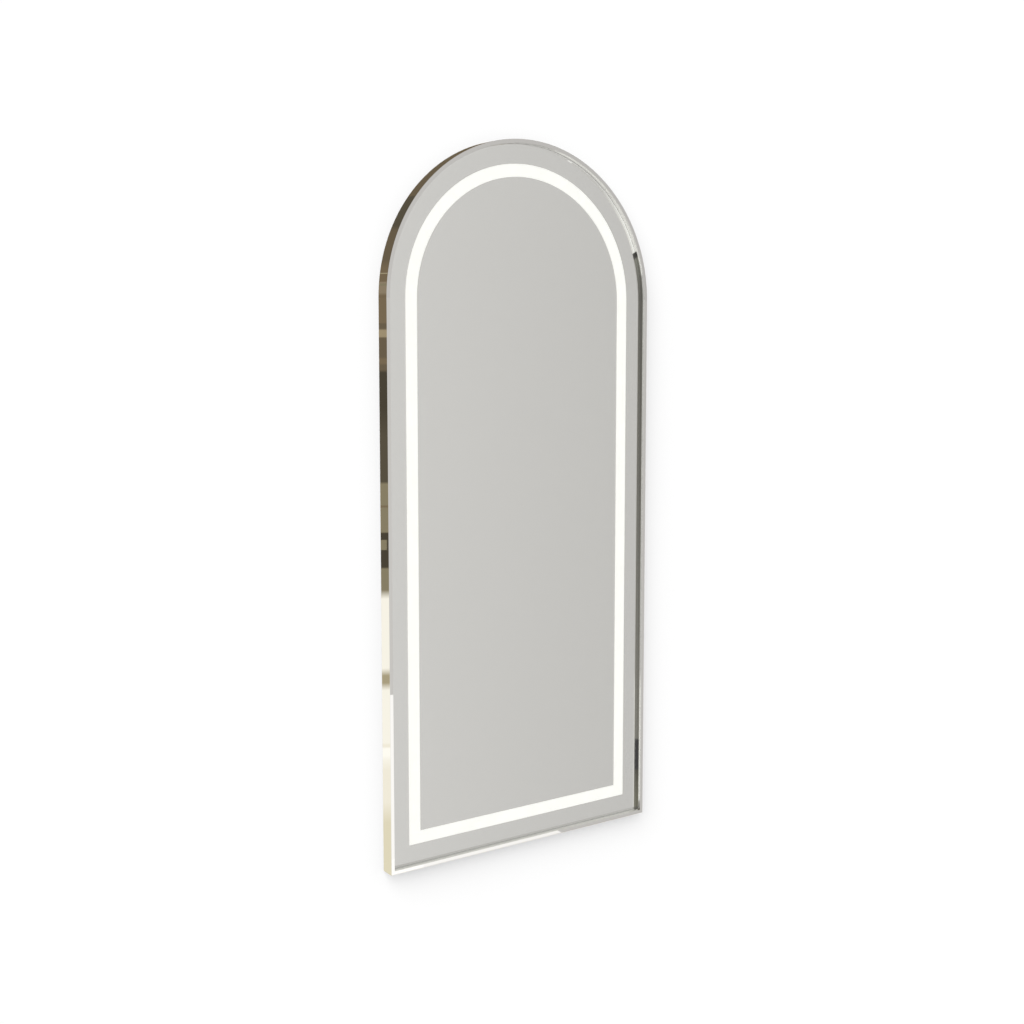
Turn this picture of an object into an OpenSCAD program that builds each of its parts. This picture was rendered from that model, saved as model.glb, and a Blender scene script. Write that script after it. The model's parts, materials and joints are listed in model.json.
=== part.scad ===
// Wall-hung salon mirror with a half-round top. A hollow bright profile, bevelled on its inner
// front edge, frames one pane of silvered glass. A lit band runs round the pane: the silvering is
// open there, and an opal strip behind it is lit from the side by a shallow white light tray.
// The mirror hangs by a hook rail on a wall rail, and lifts straight up to come off.
// The wall is the plane y = 0, the glass faces -y and z is up. The origin is the middle of the
// wall rail's screw line, on the wall.

/* [Overall] */
// Width over the frame, which is also the width of the half-round top
overall_w = 800; // [680:10:1000]
// Height over the frame
overall_h = 1820; // [1600:10:2200]
// Height of the rail's screw line above the centre of the round top
rail_rise = 60; // [40:1:120]

/* [Frame profile] */
// Depth of the profile, front to back
profile_d = 40; // [38:0.5:50]
// Width of the profile as seen from the front
profile_w = 11; // [9:0.5:15]
// Wall thickness of the hollow profile
profile_wall = 1.5; // [1:0.1:1.8]
// Bevel on the inner front edge, across the rim
bevel_w = 1.5; // [1:0.1:4.5]
// Bevel on the inner front edge, in depth
bevel_d = 5; // [2:0.1:6.5]
// Radius of the profile's other edges
edge_r = 0.8; // [0.4:0.1:1.2]

/* [Frame joints] */
// Length of each leg of a corner key, from the frame's outer corner
key_leg = 45; // [40:1:80]
// Distance from the outer corner to a corner key's set screw
key_screw_at = 30; // [20:1:34]
// Length of each half of a splice key, up and down from the spring line
splice_leg = 36; // [32:1:60]
// Distance from the spring line to a splice key's set screw
splice_screw_at = 20; // [10:1:26]
// Clearance between a key and the profile's cavity
key_gap = 0.15; // [0.1:0.05:0.3]
// Diameter of the set screws
set_screw_d = 4; // [3:0.5:5]
// Length of the set screws
set_screw_l = 6; // [4:0.5:8]

/* [Bumpers] */
// Thickness of the bumpers, which keep the frame off the wall
bumper_t = 1.5; // [1:0.1:2]
// Diameter of the bumpers
bumper_d = 8; // [6:0.5:8.5]
// Distance of the bumpers from the frame's corner and from the spring line
bumper_at = 60; // [50:5:150]

/* [Glass] */
// Depth from the front of the frame to the glass
recess = 12; // [8:0.5:13]
// Thickness of the glass
glass_t = 5; // [4:1:6]
// Gap between the edge of the glass and the frame
glass_gap = 0.2; // [0.2:0.1:1]
// Thickness of the silvering with its safety film
backing_t = 0.3; // [0.2:0.05:0.5]
// Gap between the glass and its backing
seat_gap = 0.05; // [0.02:0.01:0.1]

/* [Light band] */
// Distance from the outside of the frame to the lit band
band_inset = 60; // [54:1:90]
// Width of the lit band
band_w = 32; // [20:1:40]
// Thickness of the opal diffuser strip
diffuser_t = 3; // [2:0.5:4]
// How far the diffuser laps under the silvering on each side
diffuser_lap = 8; // [4:1:10]
// Gap between the diffuser and the light fence
fence_gap = 2; // [1:0.5:4]
// Thickness of the light fence
fence_t = 3; // [2:0.5:5]

/* [LED tape] */
// Width of the tape
tape_w = 8; // [5:1:10]
// Thickness of the tape
tape_t = 0.3; // [0.2:0.05:0.5]
// Distance between LED packages
led_pitch = 33; // [25:1:60]
// Length of an LED package along the tape
led_l = 3.5; // [2:0.1:5]
// Breadth of an LED package across the tape
led_b = 2.8; // [2:0.1:4]
// Height of an LED package
led_h = 0.8; // [0.6:0.1:1.6]

/* [Light tray] */
// Sheet thickness of the tray and the gear cover
sheet_t = 1.2; // [1:0.1:1.5]
// Gap between the frame and the tray's front flange
flange_gap = 1; // [0.5:0.5:2]
// Distance from the frame to the tray's wall
ledge_w = 18; // [17:1:21]
// Width of the tray's inward flange, under the back panel
lap_w = 12; // [8:1:14]
// Thickness of the foam tape between the flange and the glass
bond_t = 1; // [0.8:0.1:1.5]
// Width of the foam tape
bond_w = 11; // [8:1:13]
// Width of a stiffening bead in the back panel
bead_w = 18; // [14:1:24]
// Height of a stiffening bead
bead_h = 2.5; // [1.5:0.1:3.5]
// Distance between stiffening beads
bead_step = 130; // [100:5:150]
// Distance from the foot of the frame to the lower end of the beads
bead_foot = 150; // [120:5:300]

/* [Tabs] */
// Width of a tab along the frame
tab_w = 22; // [18:1:30]
// Thickness of a tab
tab_t = 2; // [1.5:0.1:2.5]
// Reach of a tab from the frame under the tray's flange
tab_reach = 15; // [13:1:16]
// Height of a tab's leg along the frame
tab_leg = 12; // [8:1:13]
// Distance from the frame to a tab's screw
tab_screw_in = 9; // [8:0.5:9.5]
// Largest distance between two tabs
tab_step = 340; // [250:10:500]
// Diameter of the small pan-head screws
screw_d = 4; // [3:0.5:4.5]
// Clearance on the diameter of a screw's hole
screw_gap = 0.2; // [0.1:0.05:0.4]

/* [Hanging rails] */
// Sheet thickness of both rails
rail_t = 2; // [1.5:0.1:2.2]
// Running gap between the hooked lips, and from the lip to the wall
rail_run = 0.3; // [0.2:0.05:0.4]
// Length of the wall rail
wall_rail_l = 520; // [480:10:560]
// Length of the hook rail
hook_rail_l = 480; // [440:10:560]
// Height of the wall rail's flange below its screw line
rail_below = 14; // [12:1:20]
// Height of the wall rail's flange above its screw line
rail_above = 10; // [8:1:14]
// Height over which the two lips hook together
hook_h = 12; // [8:0.5:16]
// Height of the hook rail's flange
hook_flange = 24; // [18:1:32]
// Distance between the outer screw holes of the wall rail
rail_span = 440; // [400:10:460]
// Distance between the inner screw holes of the wall rail
rail_span_in = 160; // [120:10:240]
// Diameter of the wall rail's screw holes
rail_hole_d = 6; // [5:0.5:7]
// Number of screws in the hook rail
hook_screws = 5; // [3:1:7]

/* [Gear cover] */
// Height of the cover's centre below the rail's screw line
cover_drop = 230; // [180:5:400]
// Width of the opening in the tray
bay_w = 300; // [290:5:360]
// Height of the opening in the tray
bay_h = 110; // [104:2:140]
// How far the cover laps over the edge of the opening
cover_lap = 15; // [12:1:22]
// Number of cooling slots
slot_count = 12; // [6:1:14]
// Length of a cooling slot
slot_l = 22; // [12:1:26]
// Width of a cooling slot
slot_w = 3; // [2:0.5:4]
// Distance between cooling slots
slot_pitch = 11; // [8:0.5:12]

/* [Electrical gear] */
// Length of the driver's case
driver_l = 190; // [150:5:200]
// Width of the driver's case
driver_w = 34; // [28:1:40]
// Thickness of the driver's case
driver_t = 12; // [10:0.5:13]
// Length of the driver's screw ear at each end
ear_l = 12; // [11:1:14]
// Diameter of the lead to the LED tape
lead_d = 4; // [3:0.5:5]
// Diameter of a single wire
wire_d = 2.2; // [1.8:0.1:3]
// Bore of the cable grommet
grommet_bore = 8; // [6:0.5:10]
// Wall thickness of the cable grommet inside its hole
grommet_wall = 1.5; // [1:0.1:2]

/* [Hidden] */
$fn = 64;
// How far a cutting shape runs past what it cuts
over = 1;

// Heights of the outline: centre of the round top, and foot of the frame
half_w = overall_w / 2;
arch_z = -rail_rise;
foot_z = arch_z - (overall_h - half_w);

// Depths from the front of the frame back to the wall
frame_back = -bumper_t;
frame_front = frame_back - profile_d;
glass_front = frame_front + recess;
glass_back = glass_front + glass_t;
backing_front = glass_back + seat_gap;
backing_back = backing_front + backing_t;
flange_front = backing_back + bond_t;
flange_back = flange_front + sheet_t;
panel_back = -3 * (rail_run + rail_t);
panel_front = panel_back - sheet_t;
cover_back = panel_back + sheet_t;

// Insets from the outside of the frame
glass_in = profile_w + glass_gap;
tray_in = profile_w + ledge_w;
tape_in = tray_in + sheet_t;
band_end = band_inset + band_w;
fence_in = band_end + diffuser_lap + fence_gap;

// Heights of the hooked rails
web_top = rail_above + rail_t;
lip_top = web_top + hook_h;
hook_foot = web_top + rail_run;
hook_web = lip_top + rail_run;
hook_top = hook_web + hook_flange;
hook_screw_z = hook_web + rail_t + hook_flange / 2;

// Sizes of the small gear
block_l = 30;
block_w = 20;
block_h = 11;
wire_up = 7;
ear_t = 2;
connector_l = 12;
connector_h = 4;
bush_wall = 1.5;
bush_lip = 1;
bush_gap = 0.3;
bush_d = lead_d + 2 * bush_wall;

// Places on the gear cover, seen from the front: the driver and the terminals stand in its upper
// half, and the earth stud, the cable's entry and the cooling slots below them
gear_side = 2;
gear_top = 6;
block_side = 8;
entry_up = 22;
earth_side = 15;
entry_side = 37;
cover_z = -cover_drop;
driver_x = bay_w / 2 - gear_side - ear_l - driver_l / 2;
driver_z = cover_z + bay_h / 2 - gear_top - driver_w / 2;
lead_y = panel_front - bush_gap - bush_lip - bush_d / 2;
wire_y = panel_back - wire_up;
block_x = -bay_w / 2 + block_side + block_l / 2;
entry_z = cover_z - bay_h / 2 + entry_up;
earth_x = -bay_w / 2 + earth_side;
entry_x = -bay_w / 2 + entry_side;
cover_screw_x = (bay_w + cover_lap) / 2;
cover_screw_z = (bay_h + cover_lap) / 2;

function circle_pts(cx, cy, r, a0, a1, n = 4) = [
    for (k = [0 : n])
        let (a = a0 + (a1 - a0) * k / n)
        [cx + r * cos(a), cy + r * sin(a)]
];

function rounded_pts(w, h, r) = concat(
    circle_pts(w / 2 - r, h / 2 - r, r, 0, 90, 6),
    circle_pts(-w / 2 + r, h / 2 - r, r, 90, 180, 6),
    circle_pts(-w / 2 + r, -h / 2 + r, r, 180, 270, 6),
    circle_pts(w / 2 - r, -h / 2 + r, r, 270, 360, 6)
);

// A flat piece between two depths, drawn as seen from the front
module plate(y0, y1) {
    translate([0, y1, 0])
        rotate([90, 0, 0])
        linear_extrude(y1 - y0)
        children();
}

// A rod along y
module rod(x, z, d, y0, y1) {
    translate([x, y1, z])
        rotate([90, 0, 0])
        cylinder(d = d, h = y1 - y0);
}

// A box between two corners
module block(low, high) {
    translate(low)
        cube(high - low);
}

// The arched outline, drawn in from the outside of the frame
module outline(inset) {
    r = half_w - inset;
    translate([0, arch_z])
        circle(r, $fn = 180);
    translate([-r, foot_z + inset])
        square([2 * r, arch_z - foot_z - inset]);
}

module ring(inset_out, inset_in) {
    difference() {
        outline(inset_out);
        outline(inset_in);
    }
}

// A section, drawn in inset and depth, carried round the half-round top from its right end
module arch_run(angle) {
    translate([0, 0, arch_z])
        rotate([90, 0, 0])
        rotate_extrude(angle = angle, $fn = 180)
        translate([half_w, 0])
        rotate(180)
        children();
}

// The same section carried down a side, -1 for the left one and 1 for the right one
module side_run(side) {
    translate([side * half_w, 0, foot_z])
        mirror([max(side, 0), 0, 0])
        linear_extrude(arch_z - foot_z)
        children();
}

// The same section carried along the foot
module foot_run() {
    translate([0, 0, foot_z])
        rotate([0, -90, 0])
        linear_extrude(overall_w, center = true)
        children();
}

// Places round the outline, each a centre and the direction that points outwards.
// The distance from the centre to the outside of the frame is always half the width.
function side_places(count, side) = [
    for (k = [0 : count - 1])
        [0, foot_z + (arch_z - foot_z) * (k + 0.5) / count, 90 - 90 * side]
];
function arch_places(count) = [for (k = [0 : count - 1]) [0, arch_z, 180 * (k + 0.5) / count]];
function foot_places(count) = [
    for (k = [0 : count - 1])
        [-half_w + overall_w * (k + 0.5) / count, foot_z + half_w, -90]
];

module at(places) {
    for (p = places)
        translate([p[0], 0, p[1]])
            rotate([0, -p[2], 0])
            children();
}

// Where the bevel meets the cavity, which keeps the wall's thickness along the bevel
bevel_len = norm([bevel_w, bevel_d]);
cavity_x = profile_w - bevel_w - profile_wall * (bevel_len - bevel_w) / bevel_d;
cavity_y = (profile_wall * bevel_len + (bevel_w - profile_wall) * bevel_d) / bevel_w;

module profile() {
    difference() {
        polygon(concat(
            circle_pts(edge_r, frame_front + edge_r, edge_r, 180, 270),
            [[profile_w - bevel_w, frame_front], [profile_w, frame_front + bevel_d]],
            circle_pts(profile_w - edge_r, frame_back - edge_r, edge_r, 0, 90),
            circle_pts(edge_r, frame_back - edge_r, edge_r, 90, 180)
        ));
        polygon([
            [profile_wall, frame_front + profile_wall],
            [cavity_x, frame_front + profile_wall],
            [profile_w - profile_wall, frame_front + cavity_y],
            [profile_w - profile_wall, frame_back - profile_wall],
            [profile_wall, frame_back - profile_wall]
        ]);
    }
}

// Set screws, two to a corner and two to a spring line, all in the back of the profile
key_mid = profile_w / 2;
splice_angle = splice_screw_at / (half_w - key_mid) * 180 / PI;
key_screw_spots = [
    for (side = [-1, 1])
        each [
            [side * (half_w - key_mid), foot_z + key_screw_at],
            [side * (half_w - key_screw_at), foot_z + key_mid],
            [side * (half_w - key_mid), arch_z - splice_screw_at],
            [
                side * (half_w - key_mid) * cos(splice_angle),
                arch_z + (half_w - key_mid) * sin(splice_angle)
            ]
        ]
];

module key_screw_holes() {
    for (p = key_screw_spots)
        rod(p[0], p[1], set_screw_d + screw_gap, frame_back - set_screw_l - over, frame_back + over);
}

// The half plane on one side of a foot corner's mitre
module mitre_cut(side, above) {
    reach = profile_w + over;
    plate(frame_front - over, frame_back + over)
        polygon([
            [side * (half_w + over), foot_z - over],
            [side * (half_w - reach), foot_z + reach],
            above ? [side * (half_w + over), foot_z + reach] : [side * (half_w - reach), foot_z - over]
        ]);
}

module frame_side(side) {
    difference() {
        side_run(side) profile();
        mitre_cut(side, false);
        key_screw_holes();
    }
}

module frame_arch() {
    color("gainsboro")
        difference() {
            arch_run(180) profile();
            key_screw_holes();
        }
}

module frame_left() { color("gainsboro") frame_side(-1); }

module frame_right() { color("gainsboro") frame_side(1); }

module frame_bottom() {
    color("gainsboro")
        difference() {
            foot_run() profile();
            mitre_cut(-1, true);
            mitre_cut(1, true);
            key_screw_holes();
        }
}

// The keys fill the cavity behind the bevel
key_out = profile_wall + key_gap;
key_in = profile_w - profile_wall - key_gap;
key_front = frame_front + cavity_y + key_gap;
key_back = frame_back - profile_wall - key_gap;

module corner_key(side) {
    difference() {
        plate(key_front, key_back)
            polygon([
                for (p = [
                    [key_out, key_out], [key_leg, key_out], [key_leg, key_in],
                    [key_in, key_in], [key_in, key_leg], [key_out, key_leg]
                ])
                    [side * (half_w - p[0]), foot_z + p[1]]
            ]);
        key_screw_holes();
    }
}

module corner_key_left() { color("darkgray") corner_key(-1); }

module corner_key_right() { color("darkgray") corner_key(1); }

// The right splice key: its upper half follows the curve
module splice_key() {
    turn = splice_leg / (half_w - key_mid) * 180 / PI;
    difference() {
        union() {
            arch_run(turn)
                translate([key_out, key_front])
                square([key_in - key_out, key_back - key_front]);
            block(
                [half_w - key_in, key_front, arch_z - splice_leg],
                [half_w - key_out, key_back, arch_z]
            );
        }
        key_screw_holes();
    }
}

module splice_key_left() { color("darkgray") mirror([1, 0, 0]) splice_key(); }

module splice_key_right() { color("darkgray") splice_key(); }

module key_screws() {
    color("dimgray")
        for (p = key_screw_spots)
            difference() {
                rod(p[0], p[1], set_screw_d, frame_back - set_screw_l, frame_back - edge_r / 2);
                translate([p[0], frame_back, p[1]])
                    rotate([90, 0, 0])
                    cylinder(d = set_screw_d / 2, h = set_screw_l / 2, $fn = 6);
            }
}

bumper_spots = [
    for (side = [-1, 1], z = [foot_z + bumper_at, arch_z - bumper_at])
        [side * (half_w - key_mid), z]
];

module bumpers() {
    color("whitesmoke")
        for (p = bumper_spots)
            rod(p[0], p[1], bumper_d, frame_back, 0);
}

// Tabs stand on the inside of the frame and reach under the tray's flange.
// A flat tab touches the curved frame with its two ends, so every tab stands off by that much.
frame_inner_r = half_w - profile_w;
tab_off = frame_inner_r - sqrt(frame_inner_r * frame_inner_r - tab_w * tab_w / 4);
side_tabs = ceil((arch_z - foot_z) / tab_step);
arch_tabs = ceil(PI * half_w / tab_step);
foot_tabs = ceil(overall_w / tab_step);
tab_places = concat(
    side_places(side_tabs, -1), side_places(side_tabs, 1), arch_places(arch_tabs),
    foot_places(foot_tabs)
);
tab_screw_r = frame_inner_r - tab_screw_in;

module frame_tabs() {
    color("silver")
        at(tab_places)
            difference() {
                translate([frame_inner_r - tab_off, 0, -tab_w / 2])
                    mirror([1, 0, 0])
                    linear_extrude(tab_w)
                    polygon([
                        [0, flange_back], [tab_reach, flange_back], [tab_reach, flange_back + tab_t],
                        [tab_t, flange_back + tab_t], [tab_t, flange_back + tab_leg],
                        [0, flange_back + tab_leg]
                    ]);
                rod(tab_screw_r, 0, screw_d + screw_gap, flange_back - over, flange_back + tab_t + over);
            }
}

// A cross-drive pan-head screw that enters along -y, with its head's seat at y = 0
head_d = 1.9 * screw_d;
head_h = 0.5 * screw_d;
head_rim = 0.6 * head_h;
drive_l = 0.56 * head_d;
drive_w = 0.2 * screw_d;
module pan_screw(length) {
    difference() {
        union() {
            rod(0, 0, screw_d, -length, 0);
            rod(0, 0, head_d, 0, head_rim);
            translate([0, head_rim, 0])
                rotate([-90, 0, 0])
                cylinder(d1 = head_d, d2 = 0.7 * head_d, h = head_h - head_rim);
        }
        for (turn = [0, 90])
            rotate([0, turn, 0])
                translate([0, head_h, 0])
                cube([drive_l, 2 * head_rim, drive_w], center = true);
    }
}

// Each screw's tip stays inside the flange's sheet
module tab_screws() {
    color("silver")
        at(tab_places)
            translate([tab_screw_r, flange_back + tab_t, 0])
            pan_screw(tab_t + 0.8 * sheet_t);
}

module mirror_glass() {
    color("lightcyan", 0.5)
        plate(glass_front, glass_back)
        outline(glass_in);
}

module silver_border() {
    color("silver")
        plate(backing_front, backing_back)
        ring(glass_in, band_inset);
}

module silver_centre() {
    color("silver")
        plate(backing_front, backing_back)
        outline(band_end);
}

module light_diffuser() {
    color("white")
        plate(backing_back, backing_back + diffuser_t)
        ring(band_inset - diffuser_lap, band_end + diffuser_lap);
}

module bond_tape() {
    bond_in = profile_w + flange_gap + (ledge_w - flange_gap - bond_w) / 2;
    color("dimgray")
        plate(backing_back, flange_front)
        ring(bond_in, bond_in + bond_w);
}

// The tray's wall is a rolled Z section: front flange, wall and inward flange
module tray_rim() {
    color("white")
        difference() {
            union() {
                plate(flange_front, flange_back) ring(profile_w + flange_gap, tape_in);
                plate(flange_front, panel_front) ring(tray_in, tape_in);
                plate(panel_front - sheet_t, panel_front) ring(tray_in, tray_in + lap_w);
            }
            at(tab_places)
                rod(tab_screw_r, 0, screw_d + screw_gap, flange_front - over, flange_back + over);
        }
}

// A pressed bead, raised towards the wall and hollow on the inside
bead_slope = 1.2 * bead_h;
module bead_solid(length, width, height) {
    w = [width / 2, width / 2 - bead_slope];
    l = [length / 2, length / 2 - bead_slope];
    polyhedron(
        [
            for (k = [0, 1], p = [[-1, -1], [1, -1], [1, 1], [-1, 1]])
                [p[0] * w[k], k * height, p[1] * l[k]]
        ],
        [[3, 2, 1, 0], [4, 5, 6, 7], [1, 5, 4, 0], [2, 6, 5, 1], [3, 7, 6, 2], [0, 4, 7, 3]]
    );
}

bead_clear = 60;
bead_low = foot_z + bead_foot;
bead_high = cover_z - bay_h / 2 - cover_lap - bead_clear;
bead_len = bead_high - bead_low;
bead_places = [for (k = [-1.5 : 1 : 1.5]) [k * bead_step, (bead_low + bead_high) / 2]];

hook_screw_span = hook_rail_l - 60;
module hook_screw_places() {
    for (k = [0 : hook_screws - 1])
        translate([(k / (hook_screws - 1) - 0.5) * hook_screw_span, 0, hook_screw_z])
            children();
}

module cover_screw_places() {
    for (x = [-1, 0, 1], z = [-1, 1])
        translate([x * cover_screw_x, 0, cover_z + z * cover_screw_z])
            children();
}

module tray_back() {
    color("white")
        difference() {
            union() {
                plate(panel_front, panel_back) outline(tray_in);
                for (p = bead_places)
                    translate([p[0], panel_back, p[1]])
                        bead_solid(bead_len, bead_w, bead_h);
            }
            for (p = bead_places)
                translate([p[0], panel_front, p[1]])
                    bead_solid(bead_len - 2 * sheet_t, bead_w - 2 * sheet_t, bead_h);
            plate(panel_front - over, panel_back + over)
                translate([0, cover_z])
                square([bay_w, bay_h], center = true);
            hook_screw_places()
                rod(0, 0, screw_d + screw_gap, panel_front - over, panel_back + over);
            cover_screw_places()
                rod(0, 0, screw_d + screw_gap, panel_front - over, panel_back + over);
        }
}

module light_fence() {
    color("white")
        difference() {
            plate(backing_back, panel_front) ring(fence_in, fence_in + fence_t);
            translate([0, lead_y, driver_z])
                rotate([0, 90, 0])
                cylinder(d = bush_d, h = half_w);
        }
}

// A bush with a lip on each side, where the lead goes through the fence
module fence_grommet() {
    color("dimgray")
        translate([half_w - fence_in - fence_t / 2, lead_y, driver_z])
        rotate([0, 90, 0])
        difference() {
            union() {
                cylinder(d = bush_d, h = fence_t, center = true);
                for (side = [-1, 1])
                    translate([0, 0, side * (fence_t + bush_lip) / 2])
                        cylinder(d = bush_d + 2 * bush_lip, h = bush_lip, center = true);
            }
            cylinder(d = lead_d + screw_gap, h = fence_t + 2 * bush_lip + over, center = true);
        }
}

// Foam blocks between the beads, which hold the middle of the pane off the tray
pad_size = [40, 60];
pad_rows = [0.15, 0.5, 0.85];
module glass_pads() {
    color("dimgray")
        for (side = [-1, 1], row = pad_rows)
            translate([side * bead_step, 0, bead_low + row * bead_len])
                plate(backing_back, panel_front)
                square(pad_size, center = true);
}

// The tape stands on edge round the tray's wall, one run over the top and one along the foot
tape_mid = (backing_back + diffuser_t + panel_front - sheet_t) / 2;
tape_break = 3.6;
module led_tape() {
    color("ivory")
        difference() {
            plate(tape_mid - tape_w / 2, tape_mid + tape_w / 2) ring(tape_in, tape_in + tape_t);
            for (side = [-1, 1])
                translate([side * (half_w - tape_in), tape_mid, foot_z + tape_in])
                    cube([tape_break, tape_w + over, tape_break], center = true);
        }
}

led_r = half_w - tape_in - tape_t;
led_sides = floor((arch_z - foot_z - tape_in) / led_pitch);
led_arch = floor(PI * led_r / led_pitch);
led_foot = floor(2 * led_r / led_pitch);
led_side_z = [
    for (k = [0 : led_sides - 1])
        arch_z - (arch_z - foot_z - tape_in) * (k + 0.5) / led_sides
];
led_places = concat(
    [for (z = led_side_z) [0, z, 180]],
    [for (z = led_side_z) if (abs(z - driver_z) > connector_l) [0, z, 0]],
    arch_places(led_arch),
    [for (k = [0 : led_foot - 1]) [led_r * ((2 * k + 1) / led_foot - 1), foot_z + half_w, -90]]
);

module led_chips() {
    color("lightyellow")
        at(led_places)
            block(
                [led_r - led_h, tape_mid - led_b / 2, -led_l / 2],
                [led_r - seat_gap / 2, tape_mid + led_b / 2, led_l / 2]
            );
}

module tape_connector() {
    color("white")
        block(
            [led_r - connector_h, tape_mid - tape_w / 2, driver_z - connector_l / 2],
            [led_r, panel_front - sheet_t, driver_z + connector_l / 2]
        );
}

module led_lead() {
    color("whitesmoke")
        translate([driver_x + driver_l / 2, lead_y, driver_z])
        rotate([0, 90, 0])
        cylinder(d = lead_d, h = led_r - connector_h - driver_x - driver_l / 2);
}

// Two clips hold the lead to the tray on its way from the gear to the fence
clip_l = 8;
clip_w = 10;
clip_wall = 1.5;
module lead_clips() {
    color("white")
        for (k = [1, 2])
            translate([bay_w / 2 + (half_w - fence_in - bay_w / 2) * k / 3, 0, driver_z])
                difference() {
                    block(
                        [-clip_l / 2, lead_y - lead_d / 2 - clip_wall, -clip_w / 2],
                        [clip_l / 2, panel_front, clip_w / 2]
                    );
                    translate([0, lead_y, 0])
                        rotate([0, 90, 0])
                        cylinder(d = lead_d + screw_gap, h = clip_l + over, center = true);
                }
}

// A slot with round ends, upright
module slot(length, width) {
    square([width, length - width], center = true);
    for (end = [-1, 1])
        translate([0, end * (length - width) / 2])
            circle(d = width, $fn = 32);
}

cover_r = 6;
module gear_cover() {
    color("white")
        difference() {
            plate(panel_back, cover_back)
                translate([0, cover_z])
                polygon(rounded_pts(bay_w + 2 * cover_lap, bay_h + 2 * cover_lap, cover_r));
            plate(panel_back - over, cover_back + over)
                for (k = [0 : slot_count - 1])
                    translate([driver_x + (k - (slot_count - 1) / 2) * slot_pitch, entry_z])
                        slot(slot_l, slot_w);
            cover_screw_places()
                rod(0, 0, screw_d + screw_gap, panel_back - over, cover_back + over);
            driver_screw_places()
                rod(0, 0, screw_d + screw_gap, panel_back - over, cover_back + over);
            rod(entry_x, entry_z, grommet_bore + 2 * grommet_wall, panel_back - over, cover_back + over);
            rod(earth_x, entry_z, screw_d + screw_gap, panel_back - over, cover_back + over);
        }
}

module cover_screws() {
    color("silver")
        cover_screw_places()
            translate([0, cover_back, 0])
            pan_screw(2 * sheet_t + screw_d / 2);
}

module driver_screw_places() {
    for (side = [-1, 1])
        translate([driver_x + side * (driver_l + ear_l) / 2, 0, driver_z])
            children();
}

// A slim potted driver: rounded case, a groove for the lid at each end and two screw ears
case_r = 3;
lid_l = 22;
lid_groove = 1.2;
module led_driver() {
    color("white")
        difference() {
            union() {
                plate(panel_back - driver_t, panel_back)
                    translate([driver_x, driver_z])
                    polygon(rounded_pts(driver_l, driver_w, case_r));
                plate(panel_back - ear_t, panel_back)
                    translate([driver_x, driver_z])
                    polygon(rounded_pts(driver_l + 2 * ear_l, 0.6 * driver_w, case_r));
            }
            for (side = [-1, 1])
                translate([driver_x + side * (driver_l / 2 - lid_l), panel_back - driver_t, driver_z])
                    cube([lid_groove, lid_groove, driver_w + over], center = true);
            driver_screw_places()
                rod(0, 0, screw_d + screw_gap, panel_back - ear_t - over, panel_back + over);
        }
}

module driver_screws() {
    color("silver")
        driver_screw_places()
            translate([0, cover_back, 0])
            pan_screw(sheet_t + 2 * ear_t);
}

// Three poles, each with a screw well at both ends
pole_pitch = block_l / 3;
well_d = 3;
module terminal_block() {
    color("whitesmoke")
        difference() {
            block(
                [block_x - block_l / 2, panel_back - block_h, driver_z - block_w / 2],
                [block_x + block_l / 2, panel_back, driver_z + block_w / 2]
            );
            for (pole = [-1, 0, 1], side = [-1, 1])
                rod(
                    block_x + pole * pole_pitch, driver_z + side * block_w / 4, well_d,
                    panel_back - block_h - over, wire_y
                );
        }
}

// Two wires from the terminals to the driver, and one to the earth stud with its ring
ring_t = 2;
module supply_wires() {
    wire_x = block_x + block_l / 2;
    earth_low = entry_z + head_d / 2;
    color("gray")
        for (side = [-1, 1])
            translate([wire_x, wire_y, driver_z + side * wire_d])
                rotate([0, 90, 0])
                cylinder(d = wire_d, h = driver_x - driver_l / 2 - wire_x);
    color("yellowgreen") {
        translate([earth_x, wire_y, earth_low])
            cylinder(d = wire_d, h = driver_z - block_w / 2 - earth_low);
        difference() {
            rod(earth_x, entry_z, head_d + 2, wire_y - ring_t / 2, wire_y + ring_t / 2);
            rod(earth_x, entry_z, screw_d + screw_gap, wire_y - ring_t, wire_y + ring_t);
        }
    }
}

// A stud through the cover, with a tall nut behind the ring and a thin one in front of it
module earth_stud() {
    ring_front = wire_y - ring_t / 2;
    ring_back = wire_y + ring_t / 2;
    thin_nut = 0.75 * screw_d;
    color("goldenrod") {
        rod(earth_x, entry_z, screw_d, ring_front - thin_nut - over, cover_back);
        rod(earth_x, entry_z, head_d, cover_back, cover_back + head_h);
        for (nut = [[panel_back, panel_back - ring_back], [ring_front, thin_nut]])
            translate([earth_x, nut[0], entry_z])
                rotate([90, 0, 0])
                cylinder(d = head_d, h = nut[1], $fn = 6);
    }
}

// A rubber grommet that grips the edge of its hole in the cover
grommet_lip = 1.5;
lip_bevel = 0.5;
module cable_grommet() {
    bore_r = grommet_bore / 2;
    neck_r = bore_r + grommet_wall;
    lip_r = neck_r + grommet_lip;
    color("dimgray")
        translate([entry_x, 0, entry_z])
        rotate([-90, 0, 0])
        rotate_extrude()
        polygon([
            [bore_r, panel_back - grommet_lip], [lip_r - lip_bevel, panel_back - grommet_lip],
            [lip_r, panel_back], [neck_r, panel_back], [neck_r, cover_back],
            [lip_r, cover_back], [lip_r - lip_bevel, cover_back + grommet_lip],
            [bore_r, cover_back + grommet_lip]
        ]);
}

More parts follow.
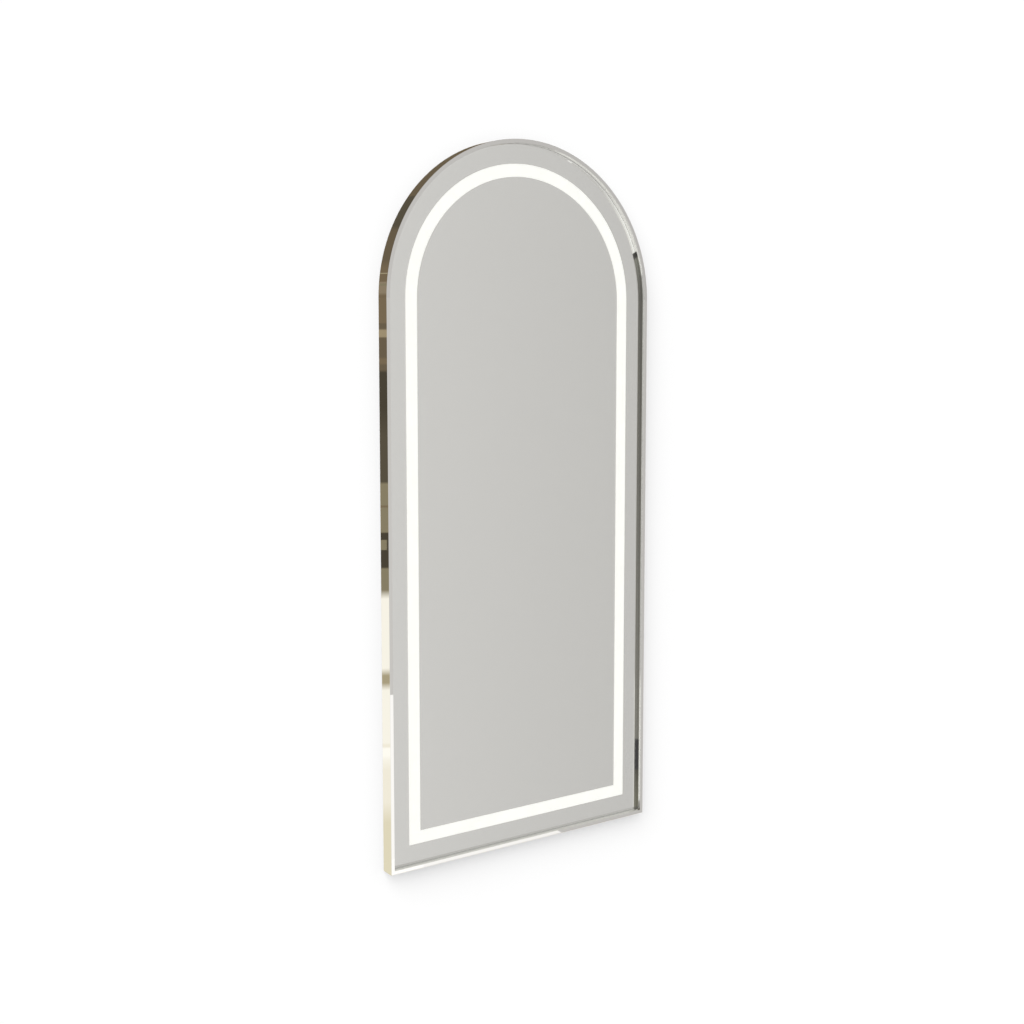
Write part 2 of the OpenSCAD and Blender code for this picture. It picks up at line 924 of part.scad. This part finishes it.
// The wall rail's lip stands off the wall by the hook rail's lip and a running gap on each side
module wall_rail() {
    lip_back = -rail_t - 2 * rail_run;
    color("lightgray")
        difference() {
            translate([-wall_rail_l / 2, 0, 0])
                rotate([90, 0, 90])
                linear_extrude(wall_rail_l)
                polygon([
                    [0, -rail_below], [0, web_top], [lip_back, web_top], [lip_back, lip_top],
                    [lip_back - rail_t, lip_top], [lip_back - rail_t, rail_above],
                    [-rail_t, rail_above], [-rail_t, -rail_below]
                ]);
            for (span = [rail_span, rail_span_in], side = [-1, 1])
                rod(side * span / 2, 0, rail_hole_d, -rail_t - over, over);
        }
}

// The hook rail is the same section turned over, fixed to the back of the tray
module hook_rail() {
    lip_back = -rail_run;
    color("lightgray")
        difference() {
            translate([-hook_rail_l / 2, 0, 0])
                rotate([90, 0, 90])
                linear_extrude(hook_rail_l)
                polygon([
                    [lip_back, hook_foot], [lip_back, hook_web + rail_t],
                    [panel_back + rail_t, hook_web + rail_t], [panel_back + rail_t, hook_top],
                    [panel_back, hook_top], [panel_back, hook_web],
                    [lip_back - rail_t, hook_web], [lip_back - rail_t, hook_foot]
                ]);
            hook_screw_places()
                rod(0, 0, screw_d + screw_gap, panel_back - over, panel_back + rail_t + over);
        }
}

nut_h = 0.8 * screw_d;
module hook_rail_screws() {
    color("silver")
        hook_screw_places()
            translate([0, panel_back + rail_t, 0])
            pan_screw(rail_t + sheet_t + nut_h + screw_d / 4);
}

module hook_rail_nuts() {
    color("silver")
        hook_screw_places()
            difference() {
                translate([0, panel_front, 0])
                    rotate([90, 0, 0])
                    cylinder(d = 2 * screw_d, h = nut_h, $fn = 6);
                rod(0, 0, screw_d + screw_gap / 2, panel_front - nut_h - over, panel_front + over);
            }
}

wall_rail();
frame_arch();
frame_left();
frame_right();
frame_bottom();
corner_key_left();
corner_key_right();
splice_key_left();
splice_key_right();
key_screws();
bumpers();
frame_tabs();
tab_screws();
mirror_glass();
silver_border();
silver_centre();
light_diffuser();
bond_tape();
tray_rim();
tray_back();
light_fence();
fence_grommet();
glass_pads();
led_tape();
led_chips();
tape_connector();
led_lead();
lead_clips();
gear_cover();
cover_screws();
led_driver();
driver_screws();
terminal_block();
supply_wires();
earth_stud();
cable_grommet();
hook_rail();
hook_rail_screws();
hook_rail_nuts();
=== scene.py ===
"""Finishes, light and camera for the salon mirror.

Everything is in metres in the mirror's own frame: the wall is the plane y = 0, the glass faces -y
and z is up.
"""

import json
import math

import bpy
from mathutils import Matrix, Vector


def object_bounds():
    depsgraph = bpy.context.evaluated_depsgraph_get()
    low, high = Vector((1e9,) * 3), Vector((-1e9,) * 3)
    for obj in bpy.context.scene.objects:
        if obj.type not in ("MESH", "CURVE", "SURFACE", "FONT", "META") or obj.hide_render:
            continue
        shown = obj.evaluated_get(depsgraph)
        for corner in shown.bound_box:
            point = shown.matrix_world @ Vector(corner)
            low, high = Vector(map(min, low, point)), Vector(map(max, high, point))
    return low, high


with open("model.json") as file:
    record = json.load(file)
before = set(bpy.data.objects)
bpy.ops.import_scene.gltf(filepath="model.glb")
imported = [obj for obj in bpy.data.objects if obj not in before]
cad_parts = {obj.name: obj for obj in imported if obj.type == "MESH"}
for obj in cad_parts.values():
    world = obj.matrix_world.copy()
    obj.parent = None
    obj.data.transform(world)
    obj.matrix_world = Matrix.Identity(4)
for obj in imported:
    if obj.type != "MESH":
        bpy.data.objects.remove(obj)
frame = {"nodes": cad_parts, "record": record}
cad_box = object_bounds()
scene = bpy.context.scene

# The photograph's camera, fitted to the outline of the frame with a small shift and some pitch,
# because the other views keep the shift
CAMERA_AT = (-1.9907, -2.9266, -0.1348)
CAMERA_YAW = 34.06
CAMERA_PITCH = 5.471
CAMERA_LENS = 48.27
CAMERA_SHIFT = -0.05
SENSOR = 36.0

WHITE = (1, 1, 1, 1)
# Noise seldom leaves this span
NOISE_SPAN = (0.3, 0.7)


def srgb(red, green, blue):
    """A colour written as a screen shows it, 0 to 255, in the linear units that a shader takes."""

    def linear(value):
        v = value / 255
        return v / 12.92 if v <= 0.04045 else ((v + 0.055) / 1.055) ** 2.4

    return (linear(red), linear(green), linear(blue), 1.0)


class Tree:
    """A short way to build a node tree."""

    def __init__(self, tree):
        self.tree = tree
        tree.nodes.clear()

    def add(self, kind, inputs=None, **settings):
        """Adds a node. An input is given a plain value, or the output that feeds it."""
        node = self.tree.nodes.new(kind)
        for name, value in settings.items():
            setattr(node, name, value)
        for name, value in (inputs or {}).items():
            if isinstance(value, bpy.types.NodeSocket):
                self.tree.links.new(value, node.inputs[name])
            else:
                node.inputs[name].default_value = value
        return node

    def math(self, operation, first, second=0.0):
        """The result of one sum on two values."""
        return self.add("ShaderNodeMath", {0: first, 1: second}, operation=operation).outputs[0]

    def ramp(self, value, low, high, to_low=0.0, to_high=1.0):
        """A value carried from one range to another."""
        inputs = {
            "Value": value, "From Min": low, "From Max": high, "To Min": to_low, "To Max": to_high,
        }
        return self.add("ShaderNodeMapRange", inputs).outputs[0]

    def blend(self, share, first, second):
        """One colour mixed into another."""
        node = self.add("ShaderNodeMix", {0: share}, data_type="RGBA")
        for socket, value in ((node.inputs[6], first), (node.inputs[7], second)):
            if isinstance(value, bpy.types.NodeSocket):
                self.tree.links.new(value, socket)
            else:
                socket.default_value = value
        return node.outputs[2]

    def noise(self, where, scale, detail=2.0, stretch=(1, 1, 1)):
        """Noise in the object's own space, with its scale in waves per metre."""
        place = self.add("ShaderNodeMapping", {"Vector": where, "Scale": stretch}).outputs[0]
        inputs = {"Vector": place, "Scale": scale, "Detail": detail}
        return self.add("ShaderNodeTexNoise", inputs).outputs[0]


def finish(name, **plain):
    """A material with one Principled shader. Plain values go on its own sockets."""
    material = bpy.data.materials.new(name)
    material.use_nodes = True
    tree = Tree(material.node_tree)
    inputs = {name.replace("_", " "): value for name, value in plain.items()}
    shader = tree.add("ShaderNodeBsdfPrincipled", inputs)
    tree.add("ShaderNodeOutputMaterial", {"Surface": shader.outputs[0]})
    where = tree.add("ShaderNodeTexCoord").outputs["Object"]
    return material, tree, shader, where


def roughen(tree, shader, where, scale, low, high):
    """Roughness that varies between two values."""
    rough = tree.ramp(tree.noise(where, scale, 3), *NOISE_SPAN, low, high)
    tree.tree.links.new(rough, shader.inputs["Roughness"])


def emboss(tree, shader, height, strength, distance):
    """Small relief from a height."""
    inputs = {"Height": height, "Strength": strength, "Distance": distance}
    bump = tree.add("ShaderNodeBump", inputs)
    tree.tree.links.new(bump.outputs[0], shader.inputs["Normal"])


# The arch, bent in rolling, starts at this height. From here up the metal has a slightly darker
# base colour than the sides: painted shade, for the duller reflection that the arch shows.
ARCH_FROM = -0.06
METAL = (0.86, 0.855, 0.835, 1)
SHADED_ARCH_METAL = (0.81, 0.805, 0.79, 1)


def bright_frame():
    """Mirror-polished metal, with the faint waves that rolling and polishing leave."""
    material, tree, shader, where = finish("bright_frame", Metallic=1.0)
    height = tree.add("ShaderNodeSeparateXYZ", {0: where}).outputs[2]
    # Painted shade: the arch's metal gets a darker base colour than the sides'
    shaded_arch = tree.math("GREATER_THAN", height, ARCH_FROM)
    tint = tree.blend(shaded_arch, METAL, SHADED_ARCH_METAL)
    tree.tree.links.new(tint, shader.inputs["Base Color"])
    roughen(tree, shader, where, 40, 0.004, 0.014)
    waves = tree.noise(where, 5, 1, (1, 1, 0.5))
    emboss(tree, shader, waves, 0.1, 0.0003)
    return material


def clear_glass():
    """Float glass, with faint waves in its surface."""
    material, tree, shader, where = finish(
        "clear_glass",
        Base_Color=(0.992, 0.997, 0.992, 1), IOR=1.52, Transmission_Weight=1.0, Roughness=0.0,
    )
    waves = tree.noise(where, 2.5, 0)
    emboss(tree, shader, waves, 0.1, 0.0002)
    return material


def silvering():
    """Silver on the back of the glass."""
    silver = (0.93, 0.93, 0.92, 1)
    material, tree, shader, where = finish("silvering", Base_Color=silver, Metallic=1.0)
    roughen(tree, shader, where, 30, 0.0, 0.012)
    return material


def opal():
    """Opal acrylic that glows almost evenly."""
    acrylic = (0.45, 0.45, 0.42, 1)
    material, tree, shader, where = finish("opal", Base_Color=acrylic, Roughness=0.4)
    shader.inputs["Emission Color"].default_value = (1.0, 1.0, 0.955, 1)
    glow = tree.ramp(tree.noise(where, 30, 1), *NOISE_SPAN, 0.98, 1.01)
    tree.tree.links.new(glow, shader.inputs["Emission Strength"])
    return material


def coated(name, colour, peel):
    """Powder coat with its orange peel."""
    material, tree, shader, where = finish(name)
    tone = tree.noise(where, 6, 3)
    dull = tuple(0.94 * c for c in colour) + (1,)
    tree.tree.links.new(tree.blend(tone, tuple(colour) + (1,), dull), shader.inputs["Base Color"])
    roughen(tree, shader, where, 90, 0.38, 0.5)
    emboss(tree, shader, tree.noise(where, 900, 2), 0.35, peel)
    return material


def zinc_plate():
    """Bright zinc plate with its fine spangle."""
    material, tree, shader, where = finish("zinc_plate", Metallic=0.6)
    cells = tree.add("ShaderNodeTexVoronoi", {"Vector": where, "Scale": 110.0}).outputs["Color"]
    grain = tree.add("ShaderNodeSeparateColor", {0: cells}).outputs[0]
    tint = tree.blend(grain, (0.60, 0.62, 0.65, 1), (0.66, 0.68, 0.70, 1))
    tree.tree.links.new(tint, shader.inputs["Base Color"])
    tree.tree.links.new(tree.ramp(grain, 0, 1, 0.34, 0.42), shader.inputs["Roughness"])
    return material


def plain_metal(name, colour, low, high):
    """Turned or cast metal with fine grain."""
    material, tree, shader, where = finish(name, Metallic=1.0)
    tone = tree.noise(where, 260, 3)
    dull = tuple(0.82 * c for c in colour) + (1,)
    tree.tree.links.new(tree.blend(tone, dull, tuple(colour) + (1,)), shader.inputs["Base Color"])
    roughen(tree, shader, where, 500, low, high)
    return material


def moulded(name, colour, low, high, grain=700, relief=0.00004):
    """Moulded plastic, rubber or foam with a fine grain."""
    material, tree, shader, where = finish(name)
    tone = tree.noise(where, 45, 3)
    dull = tuple(0.9 * c for c in colour) + (1,)
    tree.tree.links.new(tree.blend(tone, dull, tuple(colour) + (1,)), shader.inputs["Base Color"])
    roughen(tree, shader, where, 200, low, high)
    emboss(tree, shader, tree.noise(where, grain, 2), 0.4, relief)
    return material


FINISHES = {
    "bright_frame": bright_frame(),
    "clear_glass": clear_glass(),
    "silvering": silvering(),
    "opal": opal(),
    "white_coat": coated("white_coat", (0.80, 0.80, 0.79), 0.00003),
    "zinc_plate": zinc_plate(),
    "key_alloy": plain_metal("key_alloy", (0.62, 0.62, 0.63), 0.35, 0.5),
    "dark_screws": plain_metal("dark_screws", (0.10, 0.10, 0.11), 0.35, 0.5),
    "foam": moulded("foam", (0.055, 0.055, 0.06), 0.8, 0.95, 500, 0.0002),
    "soft_rubber": moulded("soft_rubber", (0.045, 0.045, 0.05), 0.5, 0.65),
    "bumper": moulded("bumper", (0.72, 0.72, 0.70), 0.3, 0.45),
    "tape_film": moulded("tape_film", (0.85, 0.84, 0.78), 0.35, 0.5),
    "led_package": moulded("led_package", (0.90, 0.80, 0.42), 0.2, 0.3),
    "white_plastic": moulded("white_plastic", (0.78, 0.78, 0.76), 0.3, 0.42),
    "cable_sheath": moulded("cable_sheath", (0.72, 0.72, 0.70), 0.35, 0.5),
    "wire_sheath": moulded("wire_sheath", (0.22, 0.23, 0.25), 0.35, 0.5),
    "stud_brass": plain_metal("stud_brass", (0.78, 0.60, 0.30), 0.25, 0.35),
}

for part in frame["record"]["subparts"]:
    mesh = frame["nodes"][part["node"]].data
    mesh.materials.clear()
    mesh.materials.append(FINISHES[part["material_slot"]])


# The room that the polished metal and the glass show. Behind the mirror's left side it is a warm
# interior, from the pale floor at the bottom up past a counter, shelves and cabinets to the
# ceiling. Each band is given by the elevation in degrees where it starts, by how soft its edge is,
# and by the colour that it has in the polished metal.
SHADE = (72, 66, 54)
DUSK = (86, 79, 65)
UMBER = (104, 92, 73)
BROWN = (118, 103, 80)
OLIVE = (134, 125, 100)
TAN = (141, 127, 104)
OAK = (156, 141, 112)
SAND = (168, 157, 127)
STRAW = (222, 214, 186)
LINEN = (240, 234, 216)
CREAM = (247, 243, 229)
GLARE = (255, 252, 241)
INTERIOR = [
    (-90.0, 1.0, STRAW),
    (-19.75, 0.4, LINEN),
    (-17.9, 0.2, CREAM),
    (-17.6, 0.1, GLARE),
    (-17.2, 0.04, LINEN),
    (-17.05, 0.04, CREAM),
    (-14.75, 0.15, SAND),
    (-14.15, 0.15, CREAM),
    (-10.99, 0.18, OLIVE),
    (-9.9, 0.04, SHADE),
    (-8.43, 0.03, OLIVE),
    (-7.38, 0.03, BROWN),
    (-7.31, 0.03, OLIVE),
    (-6.37, 0.05, DUSK),
    (-3.85, 0.6, SHADE),
    (-1.73, 0.06, UMBER),
    (-1.44, 0.04, BROWN),
    (-1.19, 0.05, UMBER),
    (-0.33, 0.03, OAK),
    (-0.01, 0.04, UMBER),
    (0.25, 0.03, BROWN),
    (3.2, 0.3, TAN),
    (5.7, 0.1, OLIVE),
    (6.5, 0.1, TAN),
    (7.15, 0.1, BROWN),
    (10.0, 0.06, SAND),
    (10.3, 0.06, BROWN),
    (13.5, 1.5, UMBER),
]
# A darker cabinet is high up at the back
CABINET_FOOT = 24.5
CABINET_SOFT = 0.7
CABINET_END = -177.5
# A box that stands on the dark shelf, up to this bearing
BOX_LEVELS = (-9.15, -8.73)
BOX_END = -151.2
# The interior fills every bearing past these two, on the right and on the left, and shows again
# through a door on the right
WARM_FROM = 125.0
WARM_LEFT = -80.0
DOOR_AT = 90.0
DOOR_HALF = 8.0

# In front it is a pale grey studio with a darker upper wall, a light ceiling and a floor that lies
# in light on the left
STUDIO_LEFT = srgb(216, 214, 212)
STUDIO_RIGHT = srgb(199, 197, 195)
UPPER_WALL = srgb(194, 193, 190)
CEILING = srgb(226, 225, 221)
FLOOR = srgb(252, 251, 247)
FLOOR_EDGE = -14.46
FLOOR_SOFT = 0.4
# From and to which bearing the studio darkens to the right, and from and to which elevation the
# upper wall and the ceiling come in
STUDIO_TURN = (26, 41)
UPPER_WALL_SPAN = (10, 15)
CEILING_SPAN = (33, 38)
# The pool of light: its edge in bearing, how far that moves for each degree of elevation, and the
# elevations between which it reaches all across
POOL_EDGE = (25, -8)
POOL_LEAN = 0.9
FEET_SPAN = (-48, -55)


def in_metal(colour):
    """The colour that a thing needs, to have this colour in the polished metal."""
    seen = srgb(*colour)
    return tuple(seen[i] / METAL[i] for i in range(3)) + (1.0,)


def interior(tree, elevation, bearing):
    """The warm interior: each band covers what is above its start."""
    colour = in_metal(INTERIOR[0][2])
    for start, soft, tone in INTERIOR[1:]:
        share = tree.ramp(elevation, start - soft, start + soft)
        colour = tree.blend(share, colour, in_metal(tone))
    from_end = tree.math("GREATER_THAN", bearing, CABINET_END)
    cabinet = tree.math("MULTIPLY", from_end, tree.math("LESS_THAN", bearing, 0.0))
    above = tree.ramp(elevation, CABINET_FOOT - CABINET_SOFT, CABINET_FOOT + CABINET_SOFT)
    colour = tree.blend(tree.math("MULTIPLY", cabinet, above), colour, in_metal(DUSK))
    low, high = BOX_LEVELS
    over_foot = tree.math("GREATER_THAN", elevation, low)
    box = tree.math("MULTIPLY", over_foot, tree.math("LESS_THAN", elevation, high))
    box = tree.math("MULTIPLY", box, tree.math("LESS_THAN", bearing, BOX_END))
    return tree.blend(box, colour, in_metal(OLIVE))


def room(tree):
    """The colour that metal and glass see in each direction."""
    way = tree.add("ShaderNodeTexCoord").outputs["Generated"]
    x, y, z = tree.add("ShaderNodeSeparateXYZ", {0: way}).outputs
    elevation = tree.math("DEGREES", tree.math("ARCSINE", z))
    bearing = tree.math("DEGREES", tree.math("ARCTAN2", x, tree.math("MULTIPLY", y, -1.0)))

    front = tree.blend(tree.ramp(bearing, *STUDIO_TURN), STUDIO_LEFT, STUDIO_RIGHT)
    front = tree.blend(tree.ramp(elevation, *UPPER_WALL_SPAN), front, UPPER_WALL)
    front = tree.blend(tree.ramp(elevation, *CEILING_SPAN), front, CEILING)
    # The pool of light reaches further right the higher it is seen, and all across at one's feet
    lean = tree.math("MULTIPLY", tree.math("SUBTRACT", elevation, FLOOR_EDGE), POOL_LEAN)
    pool = tree.ramp(tree.math("SUBTRACT", bearing, lean), *POOL_EDGE)
    feet = tree.ramp(elevation, *FEET_SPAN)
    floor = tree.ramp(elevation, FLOOR_EDGE + FLOOR_SOFT, FLOOR_EDGE - FLOOR_SOFT)
    lit = tree.math("MULTIPLY", floor, tree.math("MAXIMUM", pool, feet))
    front = tree.blend(lit, front, FLOOR)

    warm = tree.math("GREATER_THAN", bearing, WARM_FROM)
    warm = tree.math("MAXIMUM", warm, tree.math("LESS_THAN", bearing, WARM_LEFT))
    off_door = tree.math("ABSOLUTE", tree.math("SUBTRACT", bearing, DOOR_AT))
    warm = tree.math("MAXIMUM", warm, tree.math("LESS_THAN", off_door, DOOR_HALF))
    return tree.blend(warm, front, interior(tree, elevation, bearing))


# The light that falls on everything but metal and glass comes from all round, and more of it from
# the upper left, where the key lamp stands too. The soft shadow lies right of the mirror and below.
DOME = 0.445
DOME_LEAN = (-0.25, 0.65)


def light_world():
    """White for the camera, the room for metal and glass, and the soft dome for the rest."""
    world = bpy.data.worlds.new("studio")
    scene.world = world
    world.use_nodes = True
    tree = Tree(world.node_tree)
    way = tree.add("ShaderNodeTexCoord").outputs["Generated"]
    x, y, z = tree.add("ShaderNodeSeparateXYZ", {0: way}).outputs
    sideways = tree.math("MULTIPLY", x, DOME_LEAN[0])
    lean = tree.math("ADD", sideways, tree.math("MULTIPLY", z, DOME_LEAN[1]))
    level = tree.math("MULTIPLY", tree.math("ADD", lean, 1.0), DOME)
    path = tree.add("ShaderNodeLightPath").outputs
    dome = tree.add("ShaderNodeBackground", {"Color": WHITE, "Strength": level}).outputs[0]
    seen = tree.add("ShaderNodeBackground", {"Color": WHITE, "Strength": 1.0}).outputs[0]
    # The polished frame throws no glare on the wall beside it
    from_wall = tree.math("GREATER_THAN", path["Diffuse Depth"], 0.5)
    thrown = tree.math("MULTIPLY", path["Is Glossy Ray"], from_wall)
    strength = tree.math("SUBTRACT", 1.0, thrown)
    shown = tree.add("ShaderNodeBackground", {"Color": room(tree), "Strength": strength}).outputs[0]
    bright = tree.math("MAXIMUM", path["Is Glossy Ray"], path["Is Transmission Ray"])
    mixed = tree.add("ShaderNodeMixShader", {0: bright, 1: dome, 2: shown}).outputs[0]
    by_eye = path["Is Camera Ray"]
    mixed = tree.add("ShaderNodeMixShader", {0: by_eye, 1: mixed, 2: seen}).outputs[0]
    tree.add("ShaderNodeOutputWorld", {"Surface": mixed})


def flat_sheet(name, corners):
    """A sheet of four corners that belongs to the studio."""
    mesh = bpy.data.meshes.new(name)
    mesh.from_pydata(corners, [], [(0, 1, 2, 3)])
    sheet = bpy.data.objects.new(name, mesh)
    scene.collection.objects.link(sheet)
    material = bpy.data.materials.new(name)
    material.use_nodes = True
    mesh.materials.append(material)
    sheet.visible_diffuse = False
    sheet.visible_shadow = False
    return sheet, Tree(material.node_tree)


# The wall is white to the camera and takes the mirror's soft shadow
WALL_GLOW = 0.495
WALL_TONE = 0.5
WALL_HALF = 3.0
WALL_MIDDLE = -0.6


def wall():
    """A white wall that only the camera sees, and only from the front."""
    low = WALL_MIDDLE - WALL_HALF
    high = WALL_MIDDLE + WALL_HALF
    corners = [
        (-WALL_HALF, 0, low), (WALL_HALF, 0, low), (WALL_HALF, 0, high), (-WALL_HALF, 0, high),
    ]
    backdrop, tree = flat_sheet("wall", corners)
    tone = (WALL_TONE, WALL_TONE, WALL_TONE, 1)
    matte = tree.add("ShaderNodeBsdfDiffuse", {"Color": tone}).outputs[0]
    glow = tree.add("ShaderNodeEmission", {"Color": WHITE, "Strength": WALL_GLOW}).outputs[0]
    lit = tree.add("ShaderNodeAddShader", {0: matte, 1: glow}).outputs[0]
    clear = tree.add("ShaderNodeBsdfTransparent").outputs[0]
    back = tree.add("ShaderNodeNewGeometry").outputs["Backfacing"]
    both = tree.add("ShaderNodeMixShader", {0: back, 1: lit, 2: clear}).outputs[0]
    tree.add("ShaderNodeOutputMaterial", {"Surface": both})
    backdrop.visible_glossy = False
    backdrop.visible_transmission = False


# The corner between the glass and the frame's right inner wall sends each ray back to where it came
# from.
# The dark strip that shows there is a painted reflection: a screen of painted tones beside the
# photographer
SCREEN_SHARE = 0.48
SCREEN_LEFT = 0.035
SCREEN_RIGHT = 0.15
SCREEN_TOP = 0.15
SCREEN_FOOT = -2.3
# The heights where it is darkest, and those between which its tone changes
SCREEN_DARKEST = (-1.94, -1.817)
SCREEN_FADE = (-1.7, -0.1)
SCREEN_FOOT_FADE = 0.12
SCREEN_SOFT_TOP = 0.005
SCREEN_SOFT_FOOT = 0.01
# The shares of its width over which its tone changes towards the right
SCREEN_SIDE_SPAN = (0.2, 0.68)
SCREEN_EDGE_SPAN = (0.79, 0.83)
SCREEN_LOW = srgb(133, 131, 124)
SCREEN_HIGH = srgb(109, 107, 102)
SCREEN_SIDE = srgb(137, 136, 128)
SCREEN_FOOT_LOW = srgb(122, 120, 108)
SCREEN_FOOT_HIGH = srgb(92, 90, 84)
SCREEN_DARK = srgb(75, 74, 75)
SCREEN_EDGE = srgb(80, 79, 76)
# How far the corner is from the outside of the frame, and from its front
CORNER_IN = 0.011
CORNER_BACK = 0.017


def painted_reflection_screen():
    """A painted reflection: a narrow dark screen that shows in the frame's right inner wall and
    nowhere else.
    """
    corner = Vector((cad_box[1][0] - CORNER_IN, cad_box[0][1] + CORNER_BACK, 0))
    eye = Vector((CAMERA_AT[0], CAMERA_AT[1], 0))
    middle = corner.lerp(eye, SCREEN_SHARE)
    across = (corner - eye).cross(Vector((0, 0, 1))).normalized()
    left = middle - across * SCREEN_LEFT
    right = middle + across * SCREEN_RIGHT
    corners = [
        (left.x, left.y, SCREEN_FOOT), (right.x, right.y, SCREEN_FOOT),
        (right.x, right.y, SCREEN_TOP), (left.x, left.y, SCREEN_TOP),
    ]
    screen, tree = flat_sheet("painted_reflection_screen", corners)
    screen.visible_camera = False
    place = tree.add("ShaderNodeTexCoord").outputs
    height = tree.add("ShaderNodeSeparateXYZ", {0: place["Object"]}).outputs[2]
    side = tree.add("ShaderNodeSeparateXYZ", {0: place["Generated"]}).outputs[0]
    # Painted reflection: these tones, set by height and across the screen, are what the right inner
    # wall shows
    low, high = SCREEN_DARKEST
    tone = tree.blend(tree.ramp(height, *SCREEN_FADE), SCREEN_LOW, SCREEN_HIGH)
    tone = tree.blend(tree.ramp(side, *SCREEN_SIDE_SPAN), tone, SCREEN_SIDE)
    fading = tree.ramp(height, low - SCREEN_FOOT_FADE, low)
    foot = tree.blend(fading, SCREEN_FOOT_LOW, SCREEN_FOOT_HIGH)
    above = tree.ramp(height, high - SCREEN_SOFT_TOP, high + SCREEN_SOFT_TOP)
    tone = tree.blend(above, SCREEN_DARK, tone)
    tone = tree.blend(tree.ramp(height, low - SCREEN_SOFT_FOOT, low), foot, tone)
    tone = tree.blend(tree.ramp(side, *SCREEN_EDGE_SPAN), tone, SCREEN_EDGE)
    glow = tree.add("ShaderNodeEmission", {"Color": tone, "Strength": 1.0}).outputs[0]
    # Only a ray that has met both the glass and the inner wall shows it, so the pane doesn't
    clear = tree.add("ShaderNodeBsdfTransparent").outputs[0]
    both = tree.math("GREATER_THAN", tree.add("ShaderNodeLightPath").outputs["Glossy Depth"], 1.5)
    shown = tree.add("ShaderNodeMixShader", {0: both, 1: clear, 2: glow}).outputs[0]
    tree.add("ShaderNodeOutputMaterial", {"Surface": shown})


# Two bright strips lie on the floor, which show in the frame's polished front as a white line.
# Each is given by its ends, and they are lamps that light the polished frame alone.
STRIP_HEIGHT = -2.3
STRIP_WIDTH = 0.24
STRIP_LEVEL = 0.46
STRIPS = {
    "floor_strip_left": ((0.52, -1.69), (1.887, -4.19)),
    "floor_strip_foot": ((0.50, -1.83), (1.41, -1.82)),
}


def floor_strips():
    """The two bright strips on the floor."""
    polished = bpy.data.collections.new("polished")
    for name in ("frame_arch", "frame_left", "frame_right", "frame_bottom"):
        polished.objects.link(frame["nodes"][name])
    for name, (start, end) in STRIPS.items():
        run = Vector(end) - Vector(start)
        lamp = bpy.data.lights.new(name, "AREA")
        lamp.shape = "RECTANGLE"
        lamp.size, lamp.size_y = run.length, STRIP_WIDTH
        lamp.energy = STRIP_LEVEL * math.pi * run.length * STRIP_WIDTH
        holder = bpy.data.objects.new(name, lamp)
        middle = (Vector(start) + Vector(end)) / 2
        holder.location = (middle.x, middle.y, STRIP_HEIGHT)
        # Turned over, so that it shines up
        holder.rotation_euler = (math.pi, 0, math.atan2(run.y, run.x))
        holder.light_linking.receiver_collection = polished
        scene.collection.objects.link(holder)


def sun(name, towards, strength, spread):
    """A soft lamp that shines along a direction and doesn't show in the metal."""
    lamp = bpy.data.lights.new(name, "SUN")
    lamp.energy = strength
    lamp.angle = math.radians(spread)
    holder = bpy.data.objects.new(name, lamp)
    holder.rotation_mode = "QUATERNION"
    holder.rotation_quaternion = Vector(towards).to_track_quat("-Z", "Y")
    holder.visible_glossy = False
    holder.visible_transmission = False
    scene.collection.objects.link(holder)


def camera():
    """The photograph's camera."""
    lens = bpy.data.cameras.new("camera")
    lens.lens = CAMERA_LENS
    lens.sensor_width = SENSOR
    lens.sensor_fit = "HORIZONTAL"
    lens.shift_y = CAMERA_SHIFT
    lens.clip_start = 0.05
    lens.clip_end = 60.0
    holder = bpy.data.objects.new("camera", lens)
    holder.location = CAMERA_AT
    holder.rotation_euler = (math.radians(90 - CAMERA_PITCH), 0, -math.radians(CAMERA_YAW))
    scene.collection.objects.link(holder)
    scene.camera = holder


camera()
light_world()
wall()
painted_reflection_screen()
floor_strips()
sun("key", (1.19, 1.0, -1.19), 3.7, 56)
sun("rear_fill", (-0.45, -1.0, -0.6), 1.9, 50)

scene.view_settings.view_transform = "Standard"
